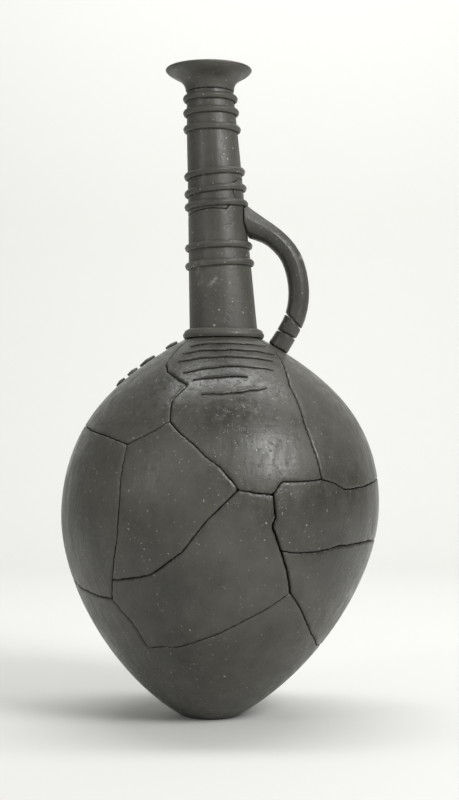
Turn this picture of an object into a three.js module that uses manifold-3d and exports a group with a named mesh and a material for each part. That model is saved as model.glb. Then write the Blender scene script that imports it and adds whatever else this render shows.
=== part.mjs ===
// A hand-built, burnished clay jug that was broken and put together again.
// Millimetres, +Z up. The origin is the middle of the flat foot, and the handle is on the +X side.
// Every sherd, applied band, ridge, knob and handle fragment is a closed solid of its own.
import * as THREE from "three";
import { mergeVertices } from "three/addons/utils/BufferGeometryUtils.js";
import Module from "manifold-3d";

const wasm = await Module();
wasm.setup();

// Driving dimensions of the body.
const footRadius = 24;
const footAngle = 27.4;
const footPull = 59;
const bellyRadius = 142.5;
const bellyHeight = 187;
const bellyPullDown = 78;
const bellyPullUp = 70;
const seatRadius = 32.7;
const seatHeight = 339.4;
const seatAngle = 28.8;
const seatPull = 80;
const bodyWall = 8;
const floorThickness = 15;

// Driving dimensions of the neck and the mouth.
const neckFootRadius = 31;
const neckFootRise = 5.6;
const neckLength = 215;
const neckTopRadius = 21.6;
const neckWaistRadius = 25.6;
const neckWaistShare = 0.535;
const neckWall = 7;
const spigotWall = 3.2;
const rimSpigotLength = 6;
const lipRadius = 39.1;
const lipHeight = 21;
const lipThickness = 5;

// The potter's axis bows to the right in the body, and the neck leans back to the left.
const axisBow = 12.3;
const neckLeanDegrees = 3.27;

// Clearances, and the widths of the breaks.
const seatGap = 0.35;
const hairline = 0.35;
const openCrack = 1.4;
const insideReach = 5;
const outsideReach = 6;

// How far the points of a break lie apart, and how far it wanders from its drawn line.
const breakStep = 16;
const breakWander = 1.1;

// Applied clay on the neck: each band's share of the way up, and the slope up to the right in degrees.
const bandHeight = 6.4;
const bandProud = 3;
const bandPlaces = [
  { share: 0.972, tilt: 0 },
  { share: 0.914, tilt: 1.2 },
  { share: 0.844, tilt: 0 },
  { share: 0.657, tilt: 5.6 },
  { share: 0.586, tilt: 6.5 },
  { share: 0.526, tilt: 3.6 },
  { share: 0.353, tilt: 2.4 },
  { share: 0.279, tilt: 3.4 },
];
const coilHeight = 8;
const coilProud = 5;

// Applied clay on the shoulder.
const ridgeWidth = 4.6;
const ridgeProud = 1.9;
const lensWidth = 6.5;
const lensProud = 1.6;
const knobWidth = 9;
const knobProud = 3;
const stripStep = 9;
const stripWander = 0.5;

// The handle. Its centre line is drawn in the XZ plane, as shares of its reach away from the neck's face
// and of its rise from its root on the shoulder to its top on the neck.
const handleReach = 46.7;
const handleTopShare = 0.456;
const handleRootDrop = 12.4;
const handleLine = [
  [-0.2, 1.03],
  [0.14, 0.97],
  [0.53, 0.88],
  [0.85, 0.73],
  [1, 0.48],
  [0.93, 0.27],
  [0.74, 0.12],
  [0.49, -0.04],
  [0.36, -0.13],
];
const handleThickness = 19;
const handleWidth = 23;
const handleNeckFlare = 6.5;
const handleShoulderFlare = 3;
const neckTenonRadius = 4.5;
const shoulderTenonRadius = 6.5;
const tenonInside = 1;
const pegInHandle = 9;
const handleBreaks = [
  { out: 0.886, up: 0.236, angle: -45.9, width: 1.1 },
  { out: 0.782, up: 0.129, angle: -27.5, width: 0.8 },
];

const bodySegments = 36;
const neckSegments = 24;
const handleSides = 14;

const degrees = (angle) => (angle * Math.PI) / 180;
const neckFootHeight = seatHeight + neckFootRise;
const neckTopHeight = neckFootHeight + neckLength;
const upNeck = (share) => neckFootHeight + share * neckLength;

// Outlines, as points of radius and height.
function bodyOutline() {
  const foot = degrees(footAngle);
  const seat = degrees(seatAngle);
  const lower = new THREE.CubicBezierCurve(
    new THREE.Vector2(footRadius, 0),
    new THREE.Vector2(
      footRadius + footPull * Math.cos(foot),
      footPull * Math.sin(foot),
    ),
    new THREE.Vector2(bellyRadius, bellyHeight - bellyPullDown),
    new THREE.Vector2(bellyRadius, bellyHeight),
  );
  const upper = new THREE.CubicBezierCurve(
    new THREE.Vector2(bellyRadius, bellyHeight),
    new THREE.Vector2(bellyRadius, bellyHeight + bellyPullUp),
    new THREE.Vector2(
      seatRadius + seatPull * Math.cos(seat),
      seatHeight - seatPull * Math.sin(seat),
    ),
    new THREE.Vector2(seatRadius, seatHeight),
  );
  return [...lower.getPoints(10), ...upper.getPoints(10).slice(1)];
}

function neckOutline() {
  const curve = new THREE.QuadraticBezierCurve(
    new THREE.Vector2(neckFootRadius, neckFootHeight),
    new THREE.Vector2(neckWaistRadius, upNeck(neckWaistShare)),
    new THREE.Vector2(neckTopRadius, neckTopHeight),
  );
  return curve.getPoints(10);
}

const bodyLine = bodyOutline();
const neckLine = neckOutline();
const wholeLine = [...bodyLine, ...neckLine];

// The outward normal of an outline at one of its points.
function outlineNormal(line, i) {
  const before = line[Math.max(i - 1, 0)];
  const after = line[Math.min(i + 1, line.length - 1)];
  return new THREE.Vector2(after.y - before.y, before.x - after.x).normalize();
}

function moved(line, distance) {
  return line.map((p, i) =>
    p.clone().addScaledVector(outlineNormal(line, i), distance),
  );
}

// The outline's radius and outward normal at a height.
function outlineAt(line, height) {
  const last = line.length - 1;
  let i = 1;
  while (i < last && line[i].y < height) i += 1;
  const share = (height - line[i - 1].y) / (line[i].y - line[i - 1].y);
  const t = Math.min(Math.max(share, 0), 1);
  return {
    radius: THREE.MathUtils.lerp(line[i - 1].x, line[i].x, t),
    normal: outlineNormal(line, i - 1).lerp(outlineNormal(line, i), t).normalize(),
  };
}

const neckRadiusAt = (height) => outlineAt(neckLine, height).radius;

// How far the axis stands to the right at a height.
function axisShift(height) {
  if (height < neckFootHeight)
    return axisBow * Math.sin((Math.PI / 2) * (height / neckFootHeight));
  return axisBow - (height - neckFootHeight) * Math.tan(degrees(neckLeanDegrees));
}

// Solids from geometry.
function solidOf(geometry) {
  const bare = new THREE.BufferGeometry().setAttribute(
    "position",
    geometry.getAttribute("position"),
  );
  bare.setIndex(geometry.index);
  const merged = mergeVertices(bare, 1e-3);
  return new wasm.Manifold(
    new wasm.Mesh({
      numProp: 3,
      vertProperties: merged.attributes.position.array,
      triVerts: new Uint32Array(merged.index.array),
    }),
  );
}

function leaned(geometry) {
  const place = geometry.getAttribute("position");
  for (let i = 0; i < place.count; i += 1)
    place.setX(i, place.getX(i) + axisShift(place.getZ(i)));
  return geometry;
}

// A revolved outline that starts and ends on the axis, or closes on itself.
function revolved(line, segments) {
  const lathe = new THREE.LatheGeometry(line, segments);
  lathe.rotateX(Math.PI / 2);
  let solid = solidOf(leaned(lathe));
  if (solid.volume() < 0) {
    const turned = new THREE.LatheGeometry([...line].reverse(), segments);
    turned.rotateX(Math.PI / 2);
    solid = solidOf(leaned(turned));
  }
  return solid;
}

function geometryOf(solid) {
  const skin = solid.getMesh();
  const geometry = new THREE.BufferGeometry();
  geometry.setAttribute(
    "position",
    new THREE.Float32BufferAttribute(skin.vertProperties, 3),
  );
  geometry.setIndex(new THREE.BufferAttribute(skin.triVerts, 1));
  return geometry;
}

// Opposite sides are split along the same diagonal, so that a thin curtain keeps its width where it twists.
// A closed skin over rings of points. A loop joins its last ring to its first; otherwise both ends are capped.
function lofted(rings, loop = false) {
  const sides = rings[0].length;
  const corners = rings.flat().flatMap((p) => [p.x, p.y, p.z]);
  const faces = [];
  const count = loop ? rings.length : rings.length - 1;
  for (let r = 0; r < count; r += 1) {
    const here = r * sides;
    const next = ((r + 1) % rings.length) * sides;
    for (let s = 0; s < sides; s += 1) {
      const t = (s + 1) % sides;
      if (s < sides / 2) {
        faces.push(here + s, here + t, next + t);
        faces.push(here + s, next + t, next + s);
      } else {
        faces.push(here + s, here + t, next + s);
        faces.push(here + t, next + t, next + s);
      }
    }
  }
  if (!loop) {
    const last = (rings.length - 1) * sides;
    for (let s = 1; s < sides - 1; s += 1) {
      faces.push(0, s + 1, s);
      faces.push(last, last + s, last + s + 1);
    }
  }
  const skin = (order) => {
    const geometry = new THREE.BufferGeometry();
    geometry.setAttribute(
      "position",
      new THREE.Float32BufferAttribute(corners, 3),
    );
    geometry.setIndex(order);
    return solidOf(geometry);
  };
  const solid = skin(faces);
  return solid.volume() > 0 ? solid : skin([...faces].reverse());
}

// The body shell, open at the top where the neck's spigot goes in.
const spigotRadius = neckFootRadius - neckWall + spigotWall;
const openingRadius = spigotRadius + seatGap;

function bodyShell() {
  const inner = moved(bodyLine, -bodyWall)
    .filter((p) => p.y > floorThickness + 2 && p.x > openingRadius + 1)
    .reverse();
  return revolved(
    [
      new THREE.Vector2(0, 0),
      ...bodyLine,
      new THREE.Vector2(openingRadius, seatHeight),
      new THREE.Vector2(openingRadius, seatHeight - bodyWall),
      ...inner,
      new THREE.Vector2(0, floorThickness),
    ],
    bodySegments,
  );
}

// The neck tube, with a spigot below and a rebate for the rim above.
const boreTop = neckTopRadius - neckWall;
const rebateRadius = boreTop + spigotWall + seatGap;

function neckShell() {
  const inner = moved(neckLine, -neckWall).reverse();
  const boreFoot = neckFootRadius - neckWall;
  return revolved(
    [
      new THREE.Vector2(spigotRadius, seatHeight - bodyWall + seatGap),
      new THREE.Vector2(spigotRadius, seatHeight + seatGap),
      new THREE.Vector2(neckFootRadius, seatHeight + seatGap),
      ...neckLine,
      new THREE.Vector2(rebateRadius, neckTopHeight),
      new THREE.Vector2(rebateRadius, neckTopHeight - rimSpigotLength),
      ...inner.slice(1),
      new THREE.Vector2(boreFoot, seatHeight - bodyWall + seatGap),
      new THREE.Vector2(spigotRadius, seatHeight - bodyWall + seatGap),
    ],
    neckSegments,
  );
}

// The everted mouth, whose spigot drops into the neck's rebate.
function mouthRim() {
  const foot = neckTopHeight + seatGap;
  const lip = foot + lipHeight;
  const outside = new THREE.CubicBezierCurve(
    new THREE.Vector2(neckTopRadius, foot),
    new THREE.Vector2(neckTopRadius, foot + lipHeight * 0.62),
    new THREE.Vector2(lipRadius - lipThickness, foot + lipHeight * 0.55),
    new THREE.Vector2(lipRadius, lip - lipThickness * 0.35),
  ).getPoints(8);
  const inside = new THREE.CubicBezierCurve(
    new THREE.Vector2(lipRadius - lipThickness, lip),
    new THREE.Vector2(lipRadius - lipThickness * 2.6, lip - lipHeight * 0.15),
    new THREE.Vector2(boreTop, foot + lipHeight * 0.7),
    new THREE.Vector2(boreTop, foot),
  ).getPoints(8);
  const edge = new THREE.Vector2(lipRadius - lipThickness * 0.25, lip);
  const bottom = neckTopHeight - rimSpigotLength + seatGap;
  const spigot = boreTop + spigotWall;
  return revolved(
    [
      new THREE.Vector2(spigot, foot),
      ...outside,
      edge,
      ...inside,
      new THREE.Vector2(boreTop, bottom),
      new THREE.Vector2(spigot, bottom),
      new THREE.Vector2(spigot, foot),
    ],
    neckSegments,
  );
}

// A point on the jug's outside at an azimuth from the front, in degrees, and a height, with its directions.
function onSurface(azimuth, height) {
  const a = degrees(azimuth);
  const { radius, normal } = outlineAt(wholeLine, height);
  const out = new THREE.Vector3(Math.sin(a), -Math.cos(a), 0);
  return {
    point: out.clone().multiplyScalar(radius).setZ(height),
    normal: out.clone().multiplyScalar(normal.x).setZ(normal.y),
  };
}

// Lines drawn in percent, turned into azimuth and height.
const onBody = (line) => line.map(([a, percent]) => [a, (percent / 100) * seatHeight]);
const onNeck = (line) => line.map(([a, percent]) => [a, upNeck(percent / 100)]);

// A hand-drawn line on the surface, given as azimuth and height, with added points that wander a little.
function course(line, step, wander) {
  const points = [];
  line.slice(1).forEach(([azimuth, height], i) => {
    const [a0, h0] = line[i];
    const radius = outlineAt(wholeLine, (h0 + height) / 2).radius;
    const length = Math.hypot(degrees(azimuth - a0) * radius, height - h0);
    const count = Math.max(1, Math.round(length / step));
    for (let k = 0; k < count; k += 1) {
      const t = k / count;
      const a = a0 + (azimuth - a0) * t;
      const h = h0 + (height - h0) * t;
      const sway = k === 0 ? 0 : wander * Math.sin(a * 1.9 + h * 0.7);
      points.push([a + (sway * 40) / radius, h + sway]);
    }
  });
  points.push(line[line.length - 1]);
  return points;
}

// Each place on a course with its direction along the surface and its direction sideways.
function frames(points) {
  const places = points.map(([a, h]) => onSurface(a, h));
  return places.map((here, i) => {
    const before = places[Math.max(i - 1, 0)].point;
    const after = places[Math.min(i + 1, places.length - 1)].point;
    const along = after.clone().sub(before).normalize();
    const side = along.clone().cross(here.normal).normalize();
    return { ...here, along, side };
  });
}

function leanedPoint(p) {
  return new THREE.Vector3(p.x + axisShift(p.z), p.y, p.z);
}

// The thin curtain of space that a break takes out of the wall.
function breakCurtain(line, width, wall) {
  const places = frames(course(line, breakStep, breakWander));
  const half = width / 2;
  const depth = wall + insideReach;
  const first = places[0];
  const last = places[places.length - 1];
  first.point.addScaledVector(first.along, -width);
  last.point.addScaledVector(last.along, width);
  const rings = places.map(({ point, normal, side }) =>
    [
      [-half, -depth],
      [-half, outsideReach],
      [half, outsideReach],
      [half, -depth],
    ].map(([s, n]) =>
      leanedPoint(
        point.clone().addScaledVector(side, s).addScaledVector(normal, n),
      ),
    ),
  );
  return lofted(rings);
}

// Where breaks meet on the body: azimuth, and height in percent of the seat's height.
const meet = {
  leftFront: [-37, 71.9],
  upperFront: [-21, 77.5],
  middle: [6, 61],
  rightTop: [18, 59.8],
  rightShoulder: [37, 63.3],
  backTop: [150, 68.4],
  shoulderBack: [185, 72.5],
  rightBelly: [22, 46],
  rightLow: [29, 35.4],
  leftLow: [-45, 33.3],
  leftBelly: [-42, 38.3],
  backLow: [150, 50.1],
  leftBack: [-80, 36.5],
};

const bodyBreaks = [
  // Round the shoulder.
  { line: [meet.leftFront, [-31, 73.7], meet.upperFront], width: hairline },
  {
    line: [meet.upperFront, [-10, 71.9], [0, 66.3], [5, 62.2], meet.middle],
    width: hairline,
  },
  { line: [meet.middle, [13, 60.1], meet.rightTop], width: hairline },
  { line: [meet.rightTop, [21, 62.8], meet.rightShoulder], width: hairline },
  {
    line: [meet.rightShoulder, [48, 60.7], [75, 62.2], [110, 65.4], meet.backTop],
    width: hairline,
  },
  { line: [meet.backTop, meet.shoulderBack], width: hairline },
  { line: [meet.shoulderBack, [176, 85], [181, 95], [179, 100], [180, 103.1]], width: hairline },
  {
    line: [meet.shoulderBack, [225, 76], [270, 77.2], [302, 74.8], [323, 71.9]],
    width: hairline,
  },
  // Up to the neck on both sides of the front sherd, and at the back.
  {
    line: [meet.upperFront, [-23, 82.8], [-18, 86.6], [-43, 92.5], [-52, 97.5], [-53, 100], [-55, 103.1]],
    width: hairline,
  },
  {
    line: [meet.rightShoulder, [34, 76.6], [36, 86.6], [43, 91.3], [57, 96.1], [59, 100], [62, 103.1]],
    width: hairline,
  },
  // Across the belly.
  { line: [meet.leftFront, [-36, 58.9], [-37, 48.6], meet.leftBelly], width: hairline },
  { line: [meet.leftBelly, meet.leftLow], width: hairline },
  {
    line: [meet.middle, [-4, 53.6], [-12, 46], [-24, 40.1], meet.leftBelly],
    width: hairline,
  },
  { line: [meet.rightTop, [19, 54.2], [18, 52.2], meet.rightBelly], width: openCrack },
  { line: [meet.rightBelly, meet.rightLow], width: openCrack },
  { line: [meet.backTop, [144, 58.9], meet.backLow], width: hairline },
  // Round below the belly.
  {
    line: [meet.rightBelly, [34, 45.4], [47, 46.6], [75, 46.8], [110, 48.3], meet.backLow],
    width: hairline,
  },
  {
    line: [meet.backLow, [195, 46.6], [240, 41.2], [280, 36.5]],
    width: hairline,
  },
  { line: [meet.leftBack, [-62, 34.5], meet.leftLow], width: hairline },
  {
    line: [meet.rightLow, [19, 30.9], [3, 25.6], [-17, 21.5], [-34, 20.9], [-38, 27.7], meet.leftLow],
    width: hairline,
  },
  {
    line: [
      meet.rightLow,
      [38, 30.1],
      [51, 23.9],
      [66, 20],
      [110, 17.7],
      [160, 19.4],
      [210, 23],
      [255, 28.9],
      [280, 36.5],
    ],
    width: hairline,
  },
];

// The neck's breaks: azimuth, and height in percent of the way up the neck.
const neckBreaks = [
  {
    line: [[48, 54], [20, 49.8], [-10, 50.2], [-60, 48.8], [-120, 47.4], [-180, 48.8], [-232, 50.2]],
    width: hairline,
  },
  { line: [[48, 54], [80, 51.2], [128, 50.2]], width: hairline },
  {
    line: [[48, 54], [39, 57.2], [39, 60.9], [60, 63.3], [100, 61.9], [128, 50.2]],
    width: hairline,
  },
];

// A strip of applied clay that lies on the surface along a course, with rounded, tapering ends.
function appliedStrip(line, width, proud) {
  const places = frames(course(line, stripStep, stripWander));
  const last = places.length - 1;
  const rings = places.map(({ point, normal, side }, i) => {
    const size = 0.3 + 0.7 * Math.sqrt(Math.sin((Math.PI * (i + 0.3)) / (last + 0.6)));
    const half = (width / 2) * size;
    return [
      [-half, seatGap],
      [-half * 0.75, seatGap + proud * 0.6 * size],
      [0, seatGap + proud * size],
      [half * 0.75, seatGap + proud * 0.6 * size],
      [half, seatGap],
    ].map(([s, n]) =>
      leanedPoint(
        point.clone().addScaledVector(side, s).addScaledVector(normal, n),
      ),
    );
  });
  return lofted(rings);
}

// A band that goes all the way round the neck and follows its taper.
function neckBand({ share, tilt }) {
  const rings = [];
  const height = upNeck(share);
  const rise = neckRadiusAt(height) * Math.tan(degrees(tilt));
  for (let i = 0; i < neckSegments; i += 1) {
    const a = (i / neckSegments) * 2 * Math.PI;
    const middle = height + rise * Math.sin(a);
    const section = [
      [0, -0.5],
      [0.65, -0.42],
      [1, 0.05],
      [0.6, 0.4],
      [0, 0.5],
    ];
    rings.push(
      section.map(([out, up]) => {
        const z = middle + up * bandHeight;
        const r = neckRadiusAt(z) + seatGap + out * bandProud;
        return leanedPoint(new THREE.Vector3(r * Math.sin(a), -r * Math.cos(a), z));
      }),
    );
  }
  return lofted(rings, true);
}

// The coil of clay that covers the joint between the body and the neck.
function neckCoil() {
  const slope = Math.tan(degrees(seatAngle));
  const outer = neckFootRadius + coilProud;
  const shoulderAt = (radius) => seatHeight - (radius - seatRadius) * slope;
  const top = seatHeight + coilHeight;
  const section = [
    [neckFootRadius + seatGap, seatHeight + 2 * seatGap],
    [seatRadius + seatGap, seatHeight + 2 * seatGap],
    [outer, shoulderAt(outer) + 2 * seatGap],
    [outer + 1, seatHeight + coilHeight * 0.25],
    [outer - 1, seatHeight + coilHeight * 0.75],
    [neckFootRadius + seatGap, top],
  ];
  const rings = [];
  for (let i = 0; i < neckSegments; i += 1) {
    const a = (i / neckSegments) * 2 * Math.PI;
    rings.push(
      section.map(([r, z]) =>
        leanedPoint(new THREE.Vector3(r * Math.sin(a), -r * Math.cos(a), z)),
      ),
    );
  }
  return lofted(rings, true);
}

// The handle's centre line.
const handleTopHeight = upNeck(handleTopShare);
const handleRootHeight = seatHeight - handleRootDrop;
const neckFace = axisShift(handleTopHeight) + neckRadiusAt(handleTopHeight);
const handlePlace = (out, up) =>
  new THREE.Vector3(
    neckFace + out * handleReach,
    0,
    handleRootHeight + up * (handleTopHeight - handleRootHeight),
  );
const handlePath = new THREE.CatmullRomCurve3(
  handleLine.map(([out, up]) => handlePlace(out, up)),
  false,
  "centripetal",
);

// The handle before it is cut, with its pegs left off; grow adds the same clearance all round.
function handleBody(grow) {
  const steps = 22;
  const rings = [];
  for (let i = 0; i <= steps; i += 1) {
    const t = i / steps;
    const centre = handlePath.getPointAt(t);
    const along = handlePath.getTangentAt(t);
    const outwards = new THREE.Vector3(-along.z, 0, along.x);
    const nearNeck = Math.max(0, 1 - t / 0.25) ** 2;
    const nearShoulder = Math.max(0, (t - 0.8) / 0.2) ** 2;
    const flare = handleNeckFlare * nearNeck + handleShoulderFlare * nearShoulder;
    const ring = [];
    for (let s = 0; s < handleSides; s += 1) {
      const a = (s / handleSides) * 2 * Math.PI;
      const thick = handleThickness / 2 + flare + grow;
      const wide = handleWidth / 2 + flare * 0.4 + grow;
      ring.push(
        centre
          .clone()
          .addScaledVector(outwards, thick * Math.cos(a))
          .add(new THREE.Vector3(0, wide * Math.sin(a), 0)),
      );
    }
    rings.push(ring);
  }
  return lofted(rings);
}

// A round peg between two points.
function peg([start, end], radius) {
  const along = end.clone().sub(start);
  const rod = new THREE.CylinderGeometry(radius, radius, along.length(), 14);
  const turn = new THREE.Quaternion().setFromUnitVectors(
    new THREE.Vector3(0, 1, 0),
    along.clone().normalize(),
  );
  rod.applyQuaternion(turn);
  const middle = start.clone().lerp(end, 0.5);
  rod.translate(middle.x, middle.y, middle.z);
  return solidOf(rod);
}

// The slot that a break leaves across the handle.
function handleBreak({ out, up, angle, width }) {
  const { x, z } = handlePlace(out, up);
  const slab = new THREE.BoxGeometry(handleThickness * 2.2, handleWidth * 2, width);
  slab.rotateY(degrees(-angle));
  slab.translate(x, 0, z);
  return solidOf(slab);
}

// Cuts a shell with its breaks and returns the sherd that holds each probe, which is an azimuth and a height.
function sherds(shell, breaks, wall, drawnOn, probes) {
  let cut = shell;
  breaks.forEach(({ line, width }) => {
    cut = cut.subtract(breakCurtain(drawnOn(line), width, wall));
  });
  const pieces = solidOf(geometryOf(cut)).decompose();
  return Object.fromEntries(
    Object.entries(probes).map(([name, place]) => {
      const [[azimuth, height]] = drawnOn([place]);
      const { point, normal } = onSurface(azimuth, height);
      const middle = leanedPoint(point.addScaledVector(normal, -wall / 2));
      const tip = new THREE.BoxGeometry(1, 1, 1);
      tip.translate(middle.x, middle.y, middle.z);
      const probe = solidOf(tip);
      const piece = pieces.find((p) => p.intersect(probe).volume() > 0);
      return [name, piece];
    }),
  );
}

// The ends of a peg that runs along the handle's centre line and through a wall. The line is followed from the
// handle's middle, in steps that go towards one end of it.
function pegEnds(step, wall) {
  const inWall = (p) =>
    Math.abs(p.x - axisShift(p.z)) < outlineAt(wholeLine, p.z).radius;
  let t = 0.5;
  while (t > 0 && t < 1 && !inWall(handlePath.getPointAt(t))) t += step;
  const inwards = handlePath.getTangentAt(t).multiplyScalar(Math.sign(step));
  const face = handlePath.getPointAt(t);
  return [
    face.clone().addScaledVector(inwards, -pegInHandle),
    face.clone().addScaledVector(inwards, wall + tenonInside),
  ];
}

const neckPeg = pegEnds(-0.005, neckWall);
const rootPeg = pegEnds(0.005, bodyWall);
const body = bodyShell().subtract(peg(rootPeg, shoulderTenonRadius + seatGap));
const neck = neckShell().subtract(peg(neckPeg, neckTenonRadius + seatGap));

// The filled outside of the body and the neck, grown by the clearance, which shapes the ends of the handle.
function grownOutside(line, segments) {
  const grown = moved(line, seatGap);
  const first = grown[0];
  const last = grown[grown.length - 1];
  return revolved(
    [new THREE.Vector2(0, first.y), ...grown, new THREE.Vector2(0, last.y)],
    segments,
  );
}

function handlePieces() {
  let whole = handleBody(0)
    .subtract(grownOutside(bodyLine, bodySegments))
    .subtract(grownOutside(neckLine, neckSegments))
    .add(peg(neckPeg, neckTenonRadius))
    .add(peg(rootPeg, shoulderTenonRadius));
  handleBreaks.forEach((place) => {
    whole = whole.subtract(handleBreak(place));
  });
  const pieces = whole.decompose();
  const topOf = (piece) => piece.boundingBox().max[2];
  return pieces.sort((a, b) => topOf(b) - topOf(a));
}

// Colours and finishes of the fired clay.
const clay = { color: 0x35332c, roughness: 0.42, metalness: 0 };
const darkClay = { color: 0x262520, roughness: 0.36, metalness: 0 };
const paleClay = { color: 0x4a463c, roughness: 0.62, metalness: 0 };

const jug = new THREE.Group();

function place(group, name, solid, finish) {
  const geometry = geometryOf(solid);
  geometry.computeVertexNormals();
  const mesh = new THREE.Mesh(geometry, new THREE.MeshStandardMaterial(finish));
  mesh.name = name;
  group.add(mesh);
}

// The body's sherds.
const bodyGroup = new THREE.Group();
jug.add(bodyGroup);
const bodySherds = sherds(body, bodyBreaks, bodyWall, onBody, {
  shoulder_left_sherd: [-110, 86],
  shoulder_right_sherd: [110, 86],
  shoulder_front_sherd: [5, 86],
  belly_upper_sherd: [-20, 63],
  belly_centre_sherd: [0, 41],
  belly_right_sherd: [70, 54],
  belly_left_sherd: [-90, 56],
  lower_back_sherd: [180, 31],
  base_sherd: [0, 12],
});
Object.entries(bodySherds).forEach(([name, solid]) => {
  place(bodyGroup, name, solid, clay);
});

// The neck's fragments, the mouth and the applied bands.
const neckGroup = new THREE.Group();
jug.add(neckGroup);
const neckSherds = sherds(neck, neckBreaks, neckWall, onNeck, {
  neck_lower_sherd: [180, 25],
  neck_upper_sherd: [0, 80],
  neck_side_fragment: [80, 56],
});
Object.entries(neckSherds).forEach(([name, solid]) => {
  place(neckGroup, name, solid, darkClay);
});
place(neckGroup, "mouth_rim", mouthRim(), darkClay);

const handleRoom = handleBody(seatGap);
bandPlaces.forEach((band, i) => {
  const ring = neckBand(band).subtract(handleRoom);
  place(neckGroup, `neck_band_${i + 1}`, ring, darkClay);
});
place(neckGroup, "neck_base_coil", neckCoil().subtract(handleRoom), clay);

// The relief on the shoulder.
const reliefGroup = new THREE.Group();
jug.add(reliefGroup);
const ridgeLines = [
  [[-36, 96.9], [-20, 97.7], [7, 97.8], [30, 97.7], [50, 97.1]],
  [[-36, 94.9], [-20, 95.8], [7, 96.1], [30, 95.8], [47, 94.9]],
  [[-33, 92.8], [-16, 93.8], [7, 94.1], [26, 93.7], [38, 93]],
  [[-24, 89.7], [-12, 90.9], [5, 91.6], [20, 91.2], [32, 90.5]],
  [[-16, 87.8], [-8, 88.5], [4, 89], [14, 88.7]],
];
ridgeLines.forEach((line, i) => {
  const ridge = appliedStrip(onBody(line), ridgeWidth, ridgeProud);
  place(reliefGroup, `shoulder_ridge_${i + 1}`, ridge, clay);
});
const lensLine = [[-10, 84.3], [4, 85], [22, 86]];
place(reliefGroup, "shoulder_lens", appliedStrip(onBody(lensLine), lensWidth, lensProud), paleClay);

const knobLines = [
  [[-90, 98.6], [-90, 97.7], [-89, 96.8]],
  [[-90, 94.9], [-90, 93.5], [-91, 92.2]],
  [[-89, 91.6], [-88, 90.7], [-88, 89.7]],
  [[-91, 89], [-91, 88], [-92, 87.1]],
];
knobLines.forEach((line, i) => {
  const knob = appliedStrip(onBody(line), knobWidth, knobProud);
  place(reliefGroup, `shoulder_knob_${i + 1}`, knob, clay);
});

// The handle's three fragments.
const handleGroup = new THREE.Group();
jug.add(handleGroup);
const handleNames = ["handle_arch", "handle_fragment", "handle_root"];
handlePieces()
  .slice(0, handleNames.length)
  .forEach((solid, i) => {
    place(handleGroup, handleNames[i], solid, darkClay);
  });

export default jug;
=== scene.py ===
"""A mended, burnished clay jug on a pale ground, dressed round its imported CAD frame."""

import math

import bpy
import numpy as np
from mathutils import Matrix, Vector


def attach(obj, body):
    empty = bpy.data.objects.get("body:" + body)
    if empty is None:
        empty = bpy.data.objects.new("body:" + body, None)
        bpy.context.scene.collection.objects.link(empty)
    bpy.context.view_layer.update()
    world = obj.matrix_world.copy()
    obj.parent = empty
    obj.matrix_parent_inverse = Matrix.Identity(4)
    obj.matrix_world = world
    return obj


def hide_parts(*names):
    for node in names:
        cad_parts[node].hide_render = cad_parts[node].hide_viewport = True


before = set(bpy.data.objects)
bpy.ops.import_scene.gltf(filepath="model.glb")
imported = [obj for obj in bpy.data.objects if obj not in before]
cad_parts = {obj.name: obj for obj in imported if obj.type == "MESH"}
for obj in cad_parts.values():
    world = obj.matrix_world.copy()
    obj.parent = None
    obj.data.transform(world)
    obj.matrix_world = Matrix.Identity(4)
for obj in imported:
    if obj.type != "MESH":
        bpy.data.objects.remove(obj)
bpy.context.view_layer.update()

MM = 0.001

# The jug's outline and axis, in millimetres and degrees, as the CAD part has them.
FOOT_RADIUS, FOOT_ANGLE, FOOT_PULL = 24, 27.4, 59
BELLY_RADIUS, BELLY_HEIGHT, BELLY_DOWN, BELLY_UP = 142.5, 187, 78, 70
SEAT_RADIUS, SEAT_HEIGHT, SEAT_ANGLE, SEAT_PULL = 32.7, 339.4, 28.8, 80
NECK_FOOT = (31, 345)
NECK_WAIST = (25.6, 460)
NECK_TOP = (21.6, 560)
AXIS_BOW, NECK_LEAN = 12.3, 3.27
WALL = 7
BODY_SEGMENTS, NECK_SEGMENTS = 36, 24
OUTLINE_STEPS, SMOOTH_STEPS = 10, 300

# The photograph's camera: where a pixel lies on the plane through the jug's axis.
IMAGE = (459, 800)
MM_PER_PIXEL = 0.9
FOOT_PIXEL = (210, 715)
EYE_ROW = 442
CAMERA_DISTANCE = 1406

BODY_NODES = [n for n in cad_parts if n.endswith("_sherd") and not n.startswith("neck")]
NECK_NODES = ["neck_lower_sherd", "neck_upper_sherd", "neck_side_fragment", "mouth_rim"]
HANDLE_NODES = ["handle_arch", "handle_fragment", "handle_root"]
APPLIED_NODES = [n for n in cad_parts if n.startswith(("neck_band", "neck_base", "shoulder_ridge",
                                                            "shoulder_lens", "shoulder_knob"))]


# Outlines as numpy curves.
def bezier(points, steps):
    """A Bezier curve of any degree, sampled."""
    level = [np.array(p, float)[None, :] for p in points]
    t = np.linspace(0, 1, steps + 1)[:, None]
    while len(level) > 1:
        level = [a * (1 - t) + b * t for a, b in zip(level, level[1:])]
    return level[0]


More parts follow.
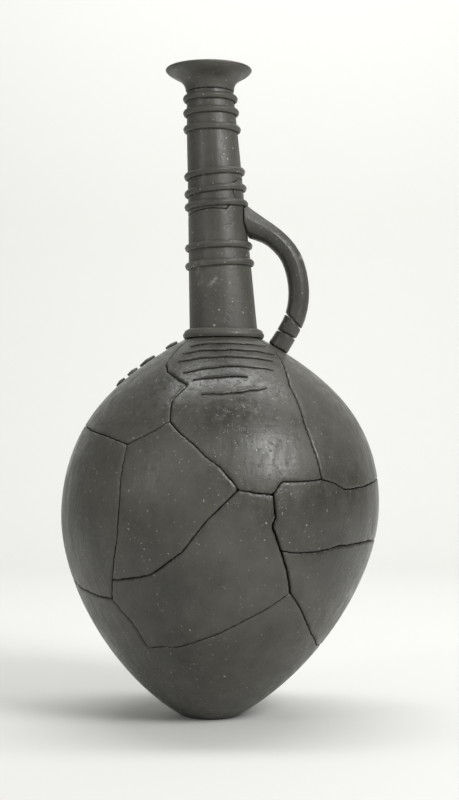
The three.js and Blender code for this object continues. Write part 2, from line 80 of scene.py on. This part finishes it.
def outline(steps):
    """The outside of the body and the neck, as rows of radius and height in millimetres."""
    foot, seat = math.radians(FOOT_ANGLE), math.radians(SEAT_ANGLE)
    lower = bezier([(FOOT_RADIUS, 0),
                    (FOOT_RADIUS + FOOT_PULL * math.cos(foot), FOOT_PULL * math.sin(foot)),
                    (BELLY_RADIUS, BELLY_HEIGHT - BELLY_DOWN), (BELLY_RADIUS, BELLY_HEIGHT)], steps)
    upper = bezier([(BELLY_RADIUS, BELLY_HEIGHT), (BELLY_RADIUS, BELLY_HEIGHT + BELLY_UP),
                    (SEAT_RADIUS + SEAT_PULL * math.cos(seat), SEAT_HEIGHT - SEAT_PULL * math.sin(seat)),
                    (SEAT_RADIUS, SEAT_HEIGHT)], steps)
    neck = bezier([NECK_FOOT, NECK_WAIST, NECK_TOP], steps)
    return np.vstack([lower, upper[1:], neck])


COARSE, FINE = outline(OUTLINE_STEPS), outline(SMOOTH_STEPS)


def axis_shift(z):
    """How far the axis stands to the right at heights z, in millimetres."""
    body = AXIS_BOW * np.sin(math.pi / 2 * np.clip(z, 0, NECK_FOOT[1]) / NECK_FOOT[1])
    neck = AXIS_BOW - (z - NECK_FOOT[1]) * math.tan(math.radians(NECK_LEAN))
    return np.where(z < NECK_FOOT[1], body, neck)


def radius_at(line, z):
    return np.interp(z, line[:, 1], line[:, 0])


def hand_made(x, y, z, scale, size):
    """A soft uneven field between 0 and 1 from a few crossed waves."""
    u, v, w = x / scale, y / scale, z / scale
    field = (np.sin(1.3 * u + 1.1 * np.sin(0.9 * w + 0.4)) + np.sin(1.7 * v + 0.8 * np.sin(1.4 * u + 1.9))
             + np.sin(1.5 * w + 0.9 * np.sin(1.2 * v + 2.6)))
    return size * (field / 6 + 0.5)


# Fine meshes made from the CAD solids. Distances of the unevenness are in millimetres.
WELD_DISTANCE = 1e-6
WAVE = 26
FOOT_FADE = 20
OUTER_SHARE, OUTER_BLEND = 0.6, 2


def coordinates(mesh):
    flat = np.empty(len(mesh.vertices) * 3)
    mesh.vertices.foreach_get("co", flat)
    return flat.reshape(-1, 3)


def remeshed(node, voxel, smooth):
    """A new object with a fine, evenly spaced copy of a CAD node's surface."""
    piece = bpy.data.objects.new(node + "_clay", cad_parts[node].data.copy())
    bpy.context.scene.collection.objects.link(piece)
    weld = piece.modifiers.new("weld", "WELD")
    weld.merge_threshold = WELD_DISTANCE
    remesh = piece.modifiers.new("remesh", "REMESH")
    remesh.mode = "VOXEL"
    remesh.voxel_size = voxel
    remesh.adaptivity = 0
    relax = piece.modifiers.new("relax", "SMOOTH")
    relax.factor = 0.5
    relax.iterations = smooth
    graph = bpy.context.evaluated_depsgraph_get()
    mesh = bpy.data.meshes.new_from_object(piece.evaluated_get(graph))
    piece.modifiers.clear()
    piece.data = mesh
    mesh.polygons.foreach_set("use_smooth", np.ones(len(mesh.polygons), bool))
    return piece


def rounded(piece, segments, uneven):
    """Takes the facets of a revolved CAD solid out of its fine copy, and gives it a hand-made unevenness."""
    co = coordinates(piece.data) / MM
    x, y, z = co[:, 0] - axis_shift(co[:, 2]), co[:, 1], co[:, 2]
    radius, azimuth = np.hypot(x, y), np.arctan2(x, -y)
    half = math.pi / segments
    local = np.mod(azimuth, 2 * half) - half
    swell = np.cos(local) / math.cos(half)
    grown = radius * swell
    outside = radius_at(FINE, z)
    outer = np.clip((grown - (outside - WALL * OUTER_SHARE)) / OUTER_BLEND, 0, 1) * (z < NECK_TOP[1])
    grown += outer * (outside - radius_at(COARSE, z))
    grown -= outer * hand_made(x, y, z, WAVE, uneven) * np.clip(z / FOOT_FADE, 0, 1)
    co[:, 0] = grown * np.sin(azimuth) + axis_shift(z)
    co[:, 1] = -grown * np.cos(azimuth)
    piece.data.vertices.foreach_set("co", (co * MM).ravel())
    piece.data.update()


def dressed(node, piece, material):
    piece.data.materials.clear()
    piece.data.materials.append(material)
    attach(piece, "root")
    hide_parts(node)


# Materials.
class Nodes:
    """Short calls for the nodes of one material."""

    def __init__(self, name):
        self.material = bpy.data.materials.new(name)
        self.material.use_nodes = True
        self.tree = self.material.node_tree
        self.shader = self.tree.nodes["Principled BSDF"]
        self.place = self.add("ShaderNodeTexCoord").outputs["Object"]

    def add(self, kind, **settings):
        node = self.tree.nodes.new(kind)
        for name, value in settings.items():
            setattr(node, name, value)
        return node

    def link(self, source, target):
        self.tree.links.new(source, target)

    def noise(self, scale, detail=6, rough=0.6, stretch=(1, 1, 1), offset=(0, 0, 0)):
        mapping = self.add("ShaderNodeMapping")
        mapping.inputs["Scale"].default_value = stretch
        mapping.inputs["Location"].default_value = offset
        self.link(self.place, mapping.inputs["Vector"])
        noise = self.add("ShaderNodeTexNoise")
        noise.inputs["Scale"].default_value = scale
        noise.inputs["Detail"].default_value = detail
        noise.inputs["Roughness"].default_value = rough
        self.link(mapping.outputs["Vector"], noise.inputs["Vector"])
        return noise.outputs["Fac"]

    def range(self, value, low, high, to_low=0.0, to_high=1.0):
        node = self.add("ShaderNodeMapRange", clamp=True)
        node.inputs["From Min"].default_value = low
        node.inputs["From Max"].default_value = high
        node.inputs["To Min"].default_value = to_low
        node.inputs["To Max"].default_value = to_high
        self.link(value, node.inputs["Value"])
        return node.outputs["Result"]

    def math(self, kind, a, b):
        node = self.add("ShaderNodeMath", operation=kind)
        for socket, value in zip(node.inputs, (a, b)):
            if isinstance(value, (int, float)):
                socket.default_value = value
            else:
                self.link(value, socket)
        return node.outputs["Value"]

    def mix(self, factor, a, b):
        node = self.add("ShaderNodeMix", data_type="RGBA")
        self.link(factor, node.inputs["Factor"])
        for socket, value in ((node.inputs["A"], a), (node.inputs["B"], b)):
            if isinstance(value, tuple):
                socket.default_value = (*value, 1)
            else:
                self.link(value, socket)
        return node.outputs["Result"]

    def bump(self, height, strength, distance, before=None):
        node = self.add("ShaderNodeBump")
        node.inputs["Strength"].default_value = strength
        node.inputs["Distance"].default_value = distance
        self.link(height, node.inputs["Height"])
        if before is not None:
            self.link(before, node.inputs["Normal"])
        return node.outputs["Normal"]


def clay(name, dark, light, pale, deposit, gloss, matt):
    """Burnished clay: cloudy colour, fine polishing strokes, specks, pits and a thin pale deposit."""
    n = Nodes(name)
    clouds = n.range(n.noise(9, 5, 0.55), 0.35, 0.68)
    fine = n.range(n.noise(70, 6, 0.7), 0.3, 0.72)
    tone = n.math("ADD", n.math("MULTIPLY", clouds, 0.7), n.math("MULTIPLY", fine, 0.3))
    colour = n.mix(tone, dark, light)
    crust = n.math("MULTIPLY", n.range(n.noise(16, 8, 0.72, offset=(3, 1, 2)), deposit, deposit + 0.12),
                   n.range(n.noise(160, 5, 0.7), 0.42, 0.6))
    colour = n.mix(crust, colour, pale)
    specks = n.range(n.noise(420, 3, 0.5, offset=(1, 5, 2)), 0.69, 0.73)
    colour = n.mix(specks, colour, pale)
    n.link(colour, n.shader.inputs["Base Color"])
    strokes = n.noise(150, 4, 0.6, stretch=(1, 1, 0.12), offset=(0, 2, 7))
    rings = n.noise(120, 3, 0.55, stretch=(0.15, 0.15, 1))
    worn = n.math("ADD", n.math("MULTIPLY", n.range(strokes, 0.35, 0.65), 0.5),
                  n.math("MULTIPLY", clouds, 0.5))
    rough = n.math("MAXIMUM", n.range(worn, 0.2, 0.8, gloss, matt), n.math("MULTIPLY", crust, 0.8))
    n.link(rough, n.shader.inputs["Roughness"])
    pits = n.range(n.noise(230, 4, 0.6, offset=(4, 4, 4)), 0.3, 0.42)
    normal = n.bump(strokes, 0.25, 0.0006)
    normal = n.bump(rings, 0.22, 0.0008, normal)
    normal = n.bump(pits, 0.35, 0.0006, normal)
    normal = n.bump(n.noise(60, 6, 0.6), 0.3, 0.0014, normal)
    n.link(normal, n.shader.inputs["Normal"])
    n.shader.inputs["Specular IOR Level"].default_value = 0.5
    return n.material


body_clay = clay("body_clay", (0.022, 0.021, 0.017), (0.085, 0.082, 0.068), (0.3, 0.29, 0.25), 0.64, 0.26, 0.5)
neck_clay = clay("neck_clay", (0.024, 0.023, 0.019), (0.09, 0.087, 0.074), (0.36, 0.35, 0.3), 0.6, 0.32, 0.58)
relief_clay = clay("relief_clay", (0.03, 0.029, 0.024), (0.11, 0.105, 0.09), (0.38, 0.37, 0.32), 0.58, 0.36, 0.6)
handle_clay = clay("handle_clay", (0.024, 0.023, 0.019), (0.09, 0.087, 0.074), (0.34, 0.33, 0.28), 0.6, 0.3, 0.56)

BODY_VOXEL, SMALL_VOXEL = ((0.0016, 0.0008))

for node in BODY_NODES:
    piece = remeshed(node, BODY_VOXEL, 2)
    rounded(piece, BODY_SEGMENTS, 0.9)
    dressed(node, piece, body_clay)
for node in NECK_NODES:
    piece = remeshed(node, SMALL_VOXEL, 2)
    rounded(piece, NECK_SEGMENTS, 0.7)
    dressed(node, piece, neck_clay)
for node in HANDLE_NODES:
    piece = remeshed(node, SMALL_VOXEL, 12)
    dressed(node, piece, handle_clay)
for node in APPLIED_NODES:
    piece = remeshed(node, SMALL_VOXEL * 0.7, 4)
    if node.startswith("neck"):
        rounded(piece, NECK_SEGMENTS, 0.5)
    if "band" in node:
        dressed(node, piece, neck_clay)
    else:
        dressed(node, piece, relief_clay)


# The ground and the backdrop.
def plain(name, colour):
    material = bpy.data.materials.new(name)
    material.use_nodes = True
    shader = material.node_tree.nodes["Principled BSDF"]
    shader.inputs["Base Color"].default_value = (*colour, 1)
    shader.inputs["Roughness"].default_value = 0.95
    shader.inputs["Specular IOR Level"].default_value = 0.1
    return material


def backdrop():
    """A floor that curves up into a wall behind the jug."""
    front, depth, height, bend, width, bend_steps = -3.0, 1.6, 3.0, 0.8, 4.0, 12
    side = [(front, 0.0)]
    for i in range(bend_steps + 1):
        a = math.pi / 2 * i / bend_steps
        side.append((depth + bend * math.sin(a), bend * (1 - math.cos(a))))
    side.append((depth + bend, height))
    corners, faces = [], []
    for y, z in side:
        corners += [(-width, y, z), (width, y, z)]
    for i in range(len(side) - 1):
        faces.append((2 * i, 2 * i + 1, 2 * i + 3, 2 * i + 2))
    mesh = bpy.data.meshes.new("backdrop")
    mesh.from_pydata(corners, [], faces)
    mesh.polygons.foreach_set("use_smooth", np.ones(len(mesh.polygons), bool))
    screen = bpy.data.objects.new("backdrop", mesh)
    bpy.context.scene.collection.objects.link(screen)
    mesh.materials.append(plain("pale_ground", (0.72, 0.72, 0.7)))


backdrop()


# Lights.
def panel(name, place, aim, size, watts):
    data = bpy.data.lights.new(name, "AREA")
    data.shape = "RECTANGLE"
    data.size, data.size_y = size
    data.energy = watts
    lamp = bpy.data.objects.new(name, data)
    bpy.context.scene.collection.objects.link(lamp)
    lamp.location = place
    lamp.rotation_mode = "QUATERNION"
    lamp.rotation_quaternion = (Vector(aim) - Vector(place)).to_track_quat("-Z", "Y")


AIM = (0, 0, 0.3)
panel("key", (1.3, -1.5, 1.5), AIM, (0.9, 0.9), 42)
panel("window", (-1.5, -1.3, 1.0), AIM, (0.16, 0.5), 5)
panel("wall_wash", (0.2, 0.4, 2.6), (0.2, 2.2, 0.6), (2.5, 1.0), 60)
world = bpy.data.worlds.new("room")
world.use_nodes = True
world.node_tree.nodes["Background"].inputs["Color"].default_value = (0.9, 0.9, 0.88, 1)
world.node_tree.nodes["Background"].inputs["Strength"].default_value = 0.35
bpy.context.scene.world = world


# The camera.
def photo_camera():
    data = bpy.data.cameras.new("camera")
    focal_pixels = CAMERA_DISTANCE / MM_PER_PIXEL
    data.sensor_width = 36
    data.lens = 36 * focal_pixels / IMAGE[1]
    data.shift_y = (EYE_ROW - IMAGE[1] / 2) / IMAGE[1]
    camera = bpy.data.objects.new("camera", data)
    bpy.context.scene.collection.objects.link(camera)
    x = (IMAGE[0] / 2 - FOOT_PIXEL[0]) * MM_PER_PIXEL
    z = (FOOT_PIXEL[1] - EYE_ROW) * MM_PER_PIXEL
    camera.location = (x * MM, -CAMERA_DISTANCE * MM, z * MM)
    camera.rotation_euler = (math.pi / 2, 0, 0)
    bpy.context.scene.camera = camera


photo_camera()
bpy.context.scene.view_settings.view_transform = "Standard"
